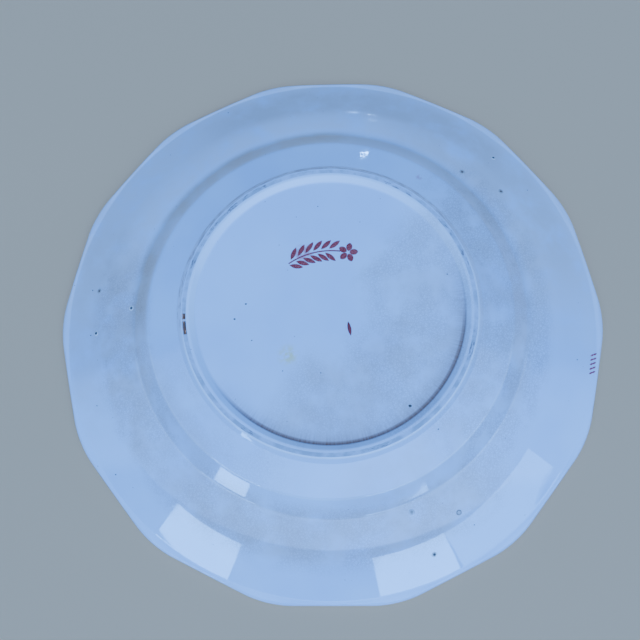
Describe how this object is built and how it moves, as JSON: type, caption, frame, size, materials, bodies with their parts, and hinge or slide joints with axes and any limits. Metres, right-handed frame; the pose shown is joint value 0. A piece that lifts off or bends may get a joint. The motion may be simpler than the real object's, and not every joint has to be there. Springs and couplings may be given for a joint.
{
  "type": "serving plate",
  "caption": "Many-sided glazed earthenware serving plate with a foot ring, a crimson mark on the base and a printed border on the face, lying face down on its lip.",
  "frame": {"origin": "centre of the plane that the lip rests on, under the middle of the foot ring, with the plate lying face down", "axes": "+Z is the plate's axis and points out of the back, away from the eating face; +X points at one corner of the outline and +/-Y at the middle of two flat sides. To serve from the plate, turn it over about X or Y: it then stands on its foot ring, with +Z down"},
  "size_m": [0.267, 0.263, 0.034],
  "materials": {
    "fired_clay": "fired earthenware body, bare and stained only where the glaze has rubbed off on the foot ring's crest and under the lip",
    "white_glaze": "glossy bluish-white lead glaze with fine crazing, grey-brown stains in the craze lines and a few dark pits",
    "crimson_print": "crimson transfer print and brushwork under a clear gloss",
    "spur_stain": "rough brown-stained spots left by kiln spurs"
  },
  "bodies": {
    "root": {"clay_body": "fired_clay", "face_glaze": "white_glaze", "back_glaze": "white_glaze", "base_glaze": "white_glaze", "lip_glaze": "white_glaze", "sprig_print": "crimson_print", "tick_print": "crimson_print", "edge_print": "crimson_print", "border_print": "crimson_print", "centre_print": "crimson_print", "spur_marks_near": "spur_stain", "spur_marks_far": "spur_stain", "spur_marks_left": "spur_stain"}
  },
  "joints": []
}
